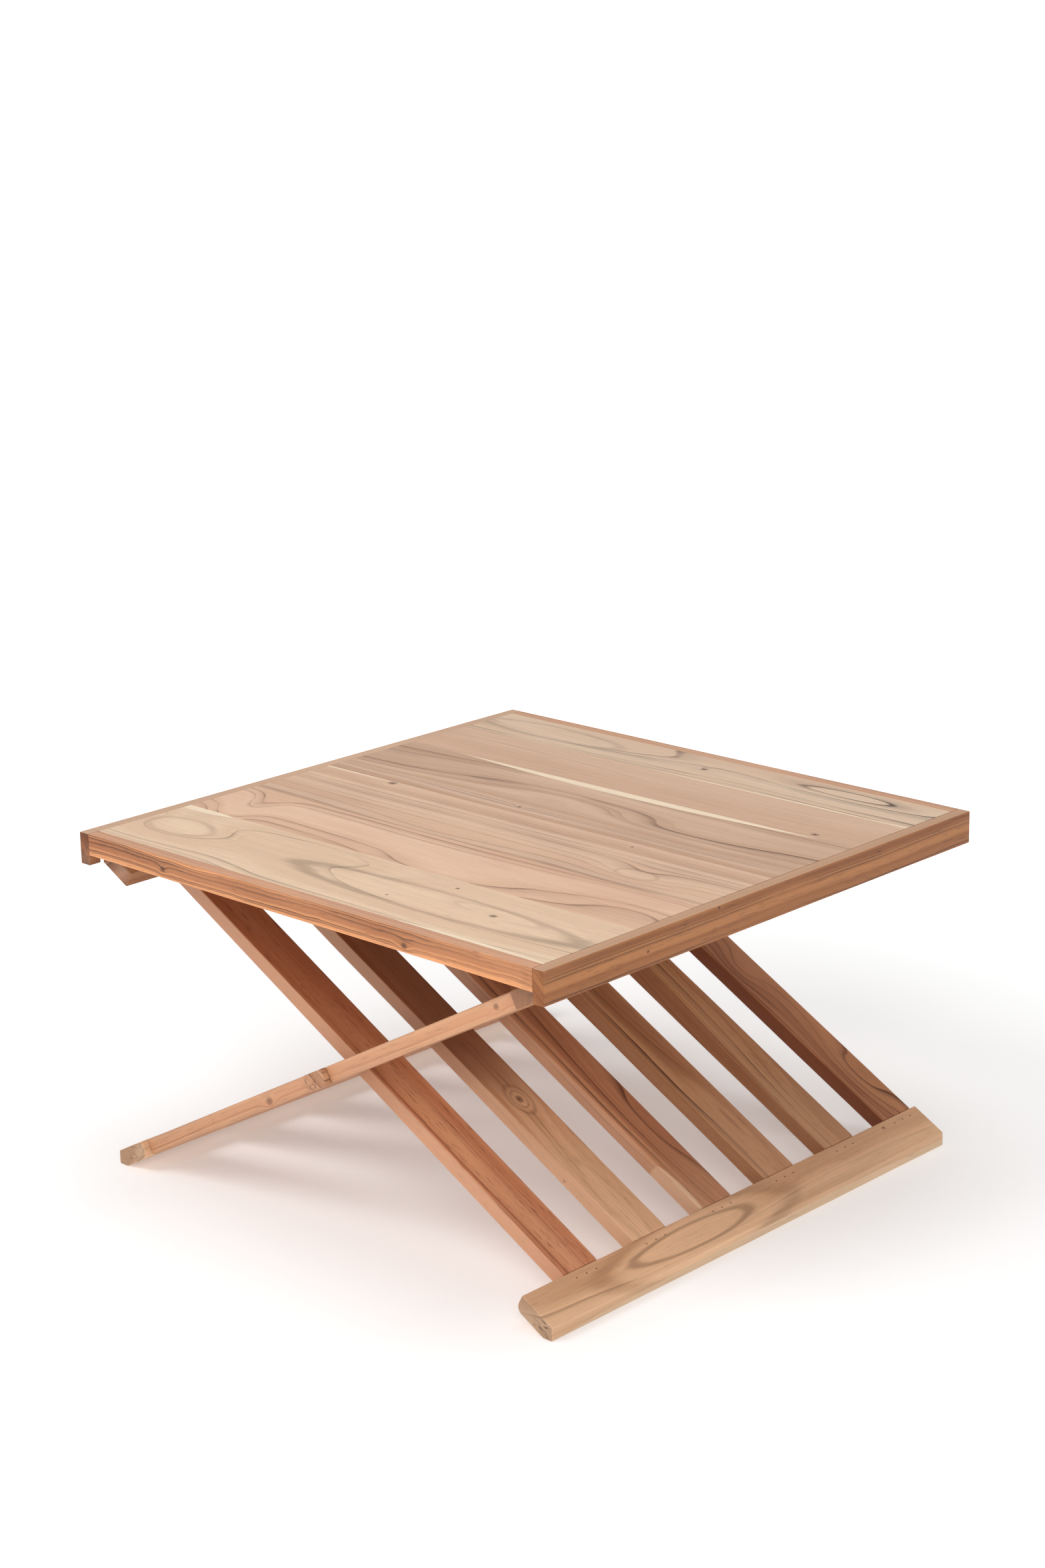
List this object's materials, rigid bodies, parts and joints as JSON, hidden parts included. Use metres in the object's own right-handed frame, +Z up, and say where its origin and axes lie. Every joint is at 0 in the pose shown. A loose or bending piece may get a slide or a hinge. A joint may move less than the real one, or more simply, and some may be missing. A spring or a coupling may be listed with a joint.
{
  "type": "folding picnic table",
  "caption": "Low square folding table with a framed board top on two slatted wooden leg frames that cross on an axle and fold nearly flat.",
  "frame": {"origin": "on the floor, under the middle of the top", "axes": "+X along the top boards towards the hinged end, +Y from front to back, +Z up"},
  "size_m": [0.71, 0.7, 0.402],
  "materials": {
    "top_wood": "oiled, matt",
    "frame_wood": "oiled, matt",
    "slat_wood": "oiled, matt",
    "bar_wood": "oiled, matt",
    "dowel_wood": "raw",
    "steel": "zinc plated"
  },
  "bodies": {
    "hinged_legs": {"hinged_slat_1": "slat_wood", "hinged_slat_2": "slat_wood", "hinged_slat_3": "slat_wood", "hinged_slat_4": "slat_wood", "hinged_slat_5": "slat_wood", "hinged_slat_6": "slat_wood", "hinged_foot_bar": "bar_wood", "hinged_top_bar": "bar_wood", "hinged_leg_brads": "steel", "hinged_pivot_block": "bar_wood", "leg_hinge_leaves": "steel", "leg_hinge_screws": "steel", "axle_rod": "steel", "axle_washers": "steel"},
    "crossing_legs": {"crossing_slat_1": "slat_wood", "crossing_slat_2": "slat_wood", "crossing_slat_3": "slat_wood", "crossing_slat_4": "slat_wood", "crossing_slat_5": "slat_wood", "crossing_slat_6": "slat_wood", "crossing_foot_bar": "bar_wood", "crossing_top_bar": "bar_wood", "crossing_leg_brads": "steel", "crossing_pivot_block": "bar_wood"},
    "top": {"left_end_batten": "frame_wood", "right_end_batten": "frame_wood", "front_rail": "frame_wood", "back_rail": "frame_wood", "rail_dowels": "dowel_wood", "top_board_1": "top_wood", "top_board_2": "top_wood", "top_board_3": "top_wood", "top_board_4": "top_wood", "top_board_5": "top_wood", "top_board_6": "top_wood", "top_hinge_leaves": "steel", "top_hinge_screws": "steel", "hinge_pins": "steel"}
  },
  "joints": [
    {"name": "leg_fold", "type": "hinge", "parent": "hinged_legs", "child": "crossing_legs", "pos_m": [0, 0, 0.191], "axis": [0, -1, 0], "range_deg": [0, 53.5]},
    {"name": "top_fold", "type": "hinge", "parent": "hinged_legs", "child": "top", "pos_m": [0.32067, 0, 0.38], "axis": [0, -1, 0], "range_deg": [0, 22.6]}
  ],
  "couplings": [
    {"joint": "top_fold", "follows": "leg_fold", "ratio": 0.42}
  ]
}
